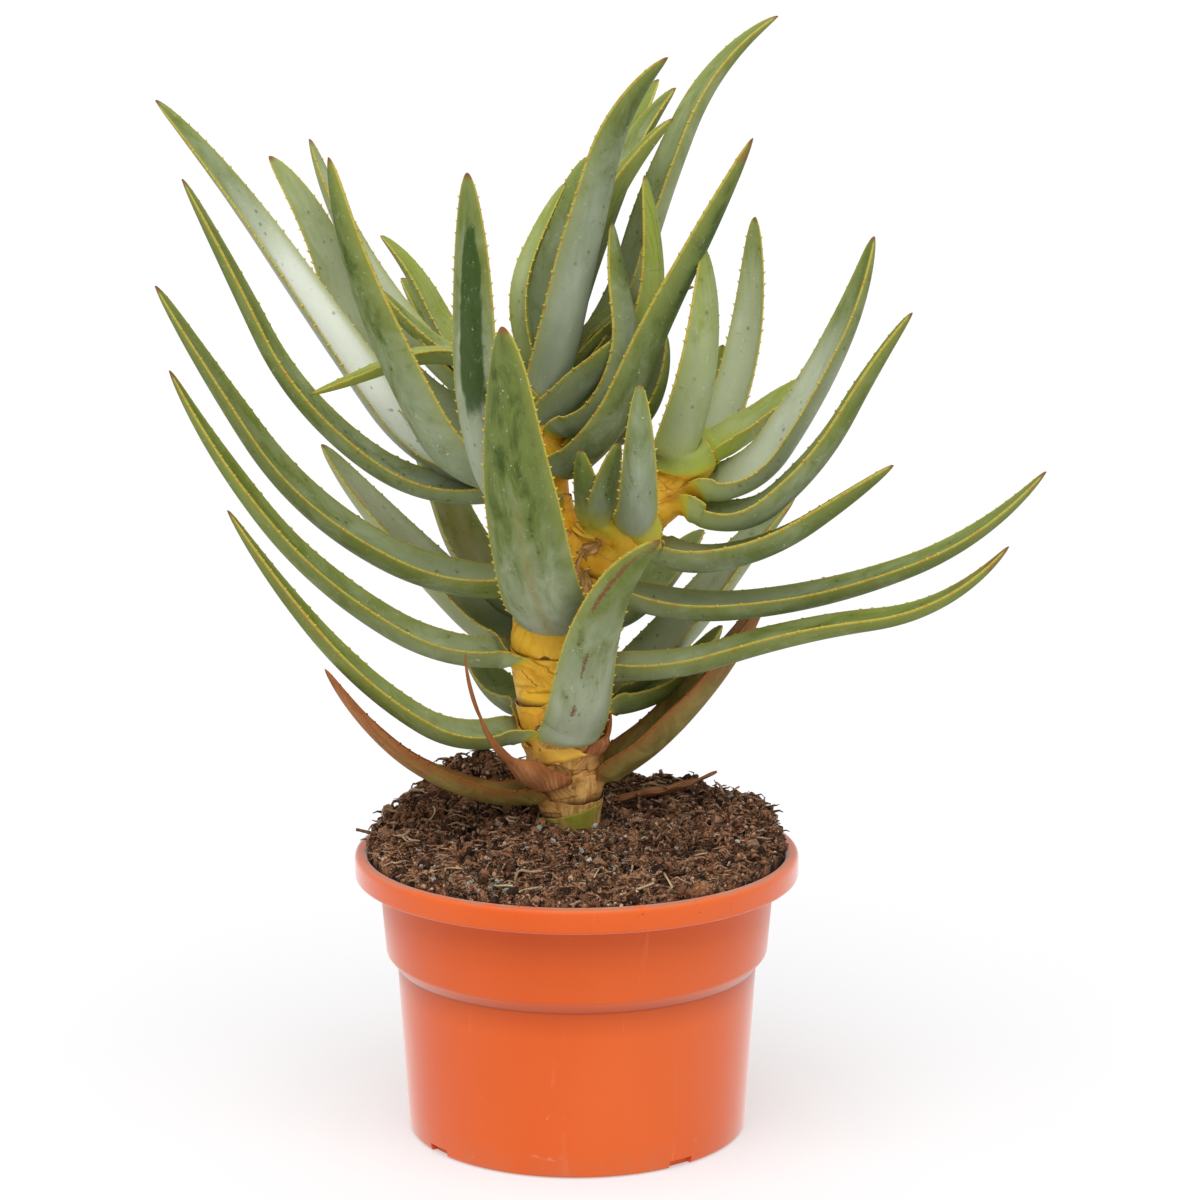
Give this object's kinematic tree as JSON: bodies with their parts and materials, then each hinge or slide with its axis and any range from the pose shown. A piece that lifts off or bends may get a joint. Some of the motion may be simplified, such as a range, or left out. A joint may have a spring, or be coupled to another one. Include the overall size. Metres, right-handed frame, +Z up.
{
  "type": "potted aloe plant",
  "caption": "Round tapered plastic nursery pot with a stepped wall and rolled lip, filled with soil, holding a forked tree aloe whose long channelled leaves have toothed edges.",
  "frame": {"origin": "centre of the pot's underside, on the plane the pot stands on", "axes": "+Z up along the pot's axis; the side branch leans towards +X; the front, which the picture shows, is towards -Y"},
  "size_m": [0.409, 0.2215, 0.5227],
  "materials": {
    "pot": "satin",
    "soil": "matte",
    "stem": "matte",
    "leaf": "satin",
    "dry_leaf": "matte",
    "twig": "matte"
  },
  "bodies": {
    "root": {"pot": "pot", "soil": "soil", "stem": "stem", "dry_leaf_01": "dry_leaf", "dry_leaf_02": "dry_leaf", "dry_leaf_03": "dry_leaf", "dry_leaf_04": "dry_leaf", "fallen_leaf": "dry_leaf", "side_head_leaf_01": "leaf", "side_head_leaf_02": "leaf", "side_head_leaf_03": "leaf", "side_head_leaf_04": "leaf", "side_head_leaf_05": "leaf", "side_head_leaf_06": "leaf", "side_head_leaf_07": "leaf", "side_head_leaf_08": "leaf", "side_head_leaf_09": "leaf", "side_head_leaf_10": "leaf", "side_head_leaf_11": "leaf", "tall_head_leaf_01": "leaf", "tall_head_leaf_02": "leaf", "tall_head_leaf_03": "leaf", "tall_head_leaf_04": "leaf", "tall_head_leaf_05": "leaf", "tall_head_leaf_06": "leaf", "tall_head_leaf_07": "leaf", "tall_head_leaf_08": "leaf", "tall_head_leaf_09": "leaf", "tall_head_leaf_10": "leaf", "tall_head_leaf_11": "leaf", "tall_head_leaf_12": "leaf", "tall_head_leaf_13": "leaf", "tall_head_leaf_14": "leaf", "tall_head_leaf_15": "leaf", "tall_head_leaf_16": "leaf", "tall_head_leaf_17": "leaf", "tall_head_leaf_18": "leaf", "tall_head_leaf_19": "leaf", "tall_head_leaf_20": "leaf", "tall_head_leaf_21": "leaf", "tall_head_leaf_22": "leaf", "tall_head_leaf_23": "leaf", "tall_head_leaf_24": "leaf", "tall_head_leaf_25": "leaf", "trunk_leaf_01": "leaf", "trunk_leaf_02": "leaf", "trunk_leaf_03": "leaf", "trunk_leaf_04": "leaf", "trunk_leaf_05": "leaf", "trunk_leaf_06": "leaf", "trunk_leaf_07": "leaf", "trunk_leaf_08": "leaf", "trunk_leaf_09": "leaf", "trunk_leaf_10": "leaf", "trunk_leaf_11": "leaf", "trunk_leaf_12": "leaf", "trunk_leaf_13": "leaf", "trunk_leaf_14": "leaf", "twig": "twig"}
  },
  "joints": []
}
